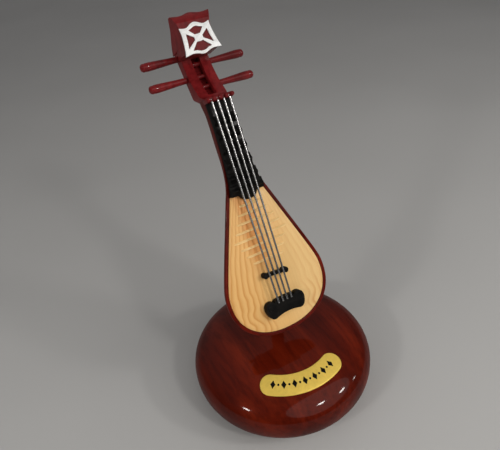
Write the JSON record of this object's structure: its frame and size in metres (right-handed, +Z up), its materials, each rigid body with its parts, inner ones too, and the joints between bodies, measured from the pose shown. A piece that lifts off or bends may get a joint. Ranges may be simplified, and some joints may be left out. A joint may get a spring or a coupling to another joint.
{
  "type": "pipa music box ornament",
  "caption": "Wind-up music box shaped as a small pipa that turns on a round lacquered wooden base, with a curved brass label.",
  "frame": {"origin": "on the resting plane, under the base's vertical axis", "axes": "+Z up, front of the soundboard towards -Y, +X to the viewer's right when facing the front"},
  "size_m": [0.12, 0.1498, 0.2302],
  "materials": {
    "lacquer_dark": "gloss lacquer, dark red-brown",
    "lacquer_red": "gloss lacquer, red-brown",
    "soundboard_wood": "satin, light honey wood",
    "black_gloss": "gloss black",
    "string_steel": "bright steel",
    "silver": "bright silver",
    "label_brass": "satin brass",
    "movement_brass": "satin brass",
    "steel": "plain steel",
    "plate_board": "stained fibreboard",
    "pad_rubber": "matt black"
  },
  "bodies": {
    "base": {"base_shell": "lacquer_dark", "bottom_plate": "plate_board", "base_pad": "pad_rubber", "bottom_screws": "steel", "label_plate": "label_brass", "label_ornament": "black_gloss", "top_bush": "movement_brass", "bedplate": "movement_brass", "standoffs": "steel", "bearing_blocks": "movement_brass", "comb": "steel", "comb_screws": "movement_brass"},
    "pipa": {"turntable_wheel": "movement_brass", "mounting_post": "lacquer_dark", "body_bowl": "lacquer_dark", "soundboard": "soundboard_wood", "board_frets": "soundboard_wood", "small_bridge": "black_gloss", "tailpiece": "black_gloss", "neck": "lacquer_dark", "fingerboard": "black_gloss", "neck_frets": "black_gloss", "nut": "lacquer_red", "string_1": "string_steel", "string_2": "string_steel", "string_3": "string_steel", "string_4": "string_steel", "pegbox": "lacquer_red", "head_finial": "lacquer_red", "head_plate": "silver"},
    "barrel": {"spring_barrel": "movement_brass"},
    "cylinder": {"pin_cylinder": "movement_brass"},
    "governor": {"governor_fly": "movement_brass"},
    "key": {"winding_key": "movement_brass", "winding_arbor": "steel"},
    "peg_lu": {"peg_left_upper": "lacquer_red"},
    "peg_ru": {"peg_right_upper": "lacquer_red"},
    "peg_ll": {"peg_left_lower": "lacquer_red"},
    "peg_rl": {"peg_right_lower": "lacquer_red"}
  },
  "joints": [
    {"name": "pipa_turn", "type": "hinge", "parent": "base", "child": "pipa", "pos_m": [0, 0.004, 0.04], "axis": [0, 0, 1], "continuous": true},
    {"name": "barrel_turn", "type": "hinge", "parent": "base", "child": "barrel", "pos_m": [0.0175, -0.0002, 0.02], "axis": [0, 0, 1], "continuous": true},
    {"name": "cylinder_turn", "type": "hinge", "parent": "base", "child": "cylinder", "pos_m": [0.0075, -0.01752, 0.0296], "axis": [-0.5, -0.866, 0], "continuous": true},
    {"name": "governor_turn", "type": "hinge", "parent": "base", "child": "governor", "pos_m": [-0.00693, -0.02651, 0.0296], "axis": [-0.5, -0.866, 0], "continuous": true},
    {"name": "key_wind", "type": "hinge", "parent": "base", "child": "key", "pos_m": [0.0175, -0.0002, 0.01], "axis": [0, 0, 1], "range_deg": [0, 1440]},
    {"name": "peg_lu_turn", "type": "hinge", "parent": "pipa", "child": "peg_lu", "pos_m": [0, 0.08264, 0.20516], "axis": [1, 0, 0], "continuous": true},
    {"name": "peg_ru_turn", "type": "hinge", "parent": "pipa", "child": "peg_ru", "pos_m": [0, 0.07984, 0.20054], "axis": [1, 0, 0], "continuous": true},
    {"name": "peg_ll_turn", "type": "hinge", "parent": "pipa", "child": "peg_ll", "pos_m": [0, 0.07413, 0.1948], "axis": [1, 0, 0], "continuous": true},
    {"name": "peg_rl_turn", "type": "hinge", "parent": "pipa", "child": "peg_rl", "pos_m": [0, 0.069, 0.19032], "axis": [1, 0, 0], "continuous": true}
  ],
  "couplings": [
    {"joint": "barrel_turn", "follows": "pipa_turn", "ratio": -0.63636},
    {"joint": "cylinder_turn", "follows": "pipa_turn", "ratio": -1.4318},
    {"joint": "governor_turn", "follows": "pipa_turn", "ratio": 4.2955}
  ]
}
